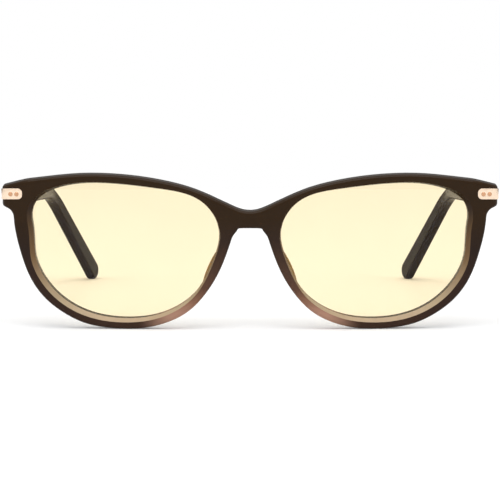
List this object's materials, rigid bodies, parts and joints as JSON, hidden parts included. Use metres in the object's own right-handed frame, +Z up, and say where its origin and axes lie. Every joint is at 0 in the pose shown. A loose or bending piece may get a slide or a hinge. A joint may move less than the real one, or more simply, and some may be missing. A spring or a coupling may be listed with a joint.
{
  "type": "eyeglasses",
  "caption": "Full-rim acetate glasses with pale yellow blue-light lenses, metal corner plaques and temples that fold on screwed barrel hinges, stored open and standing on a table.",
  "frame": {"origin": "under the middle of the open glasses' bounding box, on the table they stand on (Z = 0)", "axes": "+Z up; the lenses face -Y; the temples run back along +Y; +X is the wearer's left"},
  "size_m": [0.1388, 0.1438, 0.0439],
  "materials": {
    "front_acetate": "polished tortoise-brown cellulose acetate, lighter brown in the lower rims",
    "temple_acetate": "polished dark brown cellulose acetate",
    "pad_acetate": "polished translucent brown acetate",
    "lens": "clear, faintly yellow, coated",
    "rose_gold": "polished pale rose gold plating",
    "rose_gold_pins": "polished pale rose gold plating",
    "hinge_steel": "satin nickel-plated steel",
    "screw_steel": "bright steel",
    "core_wire": "drawn nickel-silver wire"
  },
  "bodies": {
    "front": {"front_frame": "front_acetate", "left_lens": "lens", "left_nose_pad": "pad_acetate", "left_corner_plaque": "rose_gold", "left_plaque_pins": "rose_gold_pins", "left_front_hinge_leaf": "hinge_steel", "left_front_hinge_rivets": "hinge_steel", "left_hinge_screw": "screw_steel", "right_lens": "lens", "right_nose_pad": "pad_acetate", "right_corner_plaque": "rose_gold", "right_plaque_pins": "rose_gold_pins", "right_front_hinge_leaf": "hinge_steel", "right_front_hinge_rivets": "hinge_steel", "right_hinge_screw": "screw_steel"},
    "left_temple_arm": {"left_temple": "temple_acetate", "left_temple_core": "core_wire", "left_temple_hinge_leaf": "hinge_steel", "left_temple_rivets": "hinge_steel"},
    "right_temple_arm": {"right_temple": "temple_acetate", "right_temple_core": "core_wire", "right_temple_hinge_leaf": "hinge_steel", "right_temple_rivets": "hinge_steel"}
  },
  "joints": [
    {"name": "left_temple_fold", "type": "hinge", "parent": "front", "child": "left_temple_arm", "pos_m": [0.06411, -0.05513, 0.03661], "axis": [0, 0.0572, 0.9984], "range_deg": [0, 86]},
    {"name": "right_temple_fold", "type": "hinge", "parent": "front", "child": "right_temple_arm", "pos_m": [-0.06411, -0.05513, 0.03661], "axis": [0, -0.0572, -0.9984], "range_deg": [0, 76]}
  ]
}
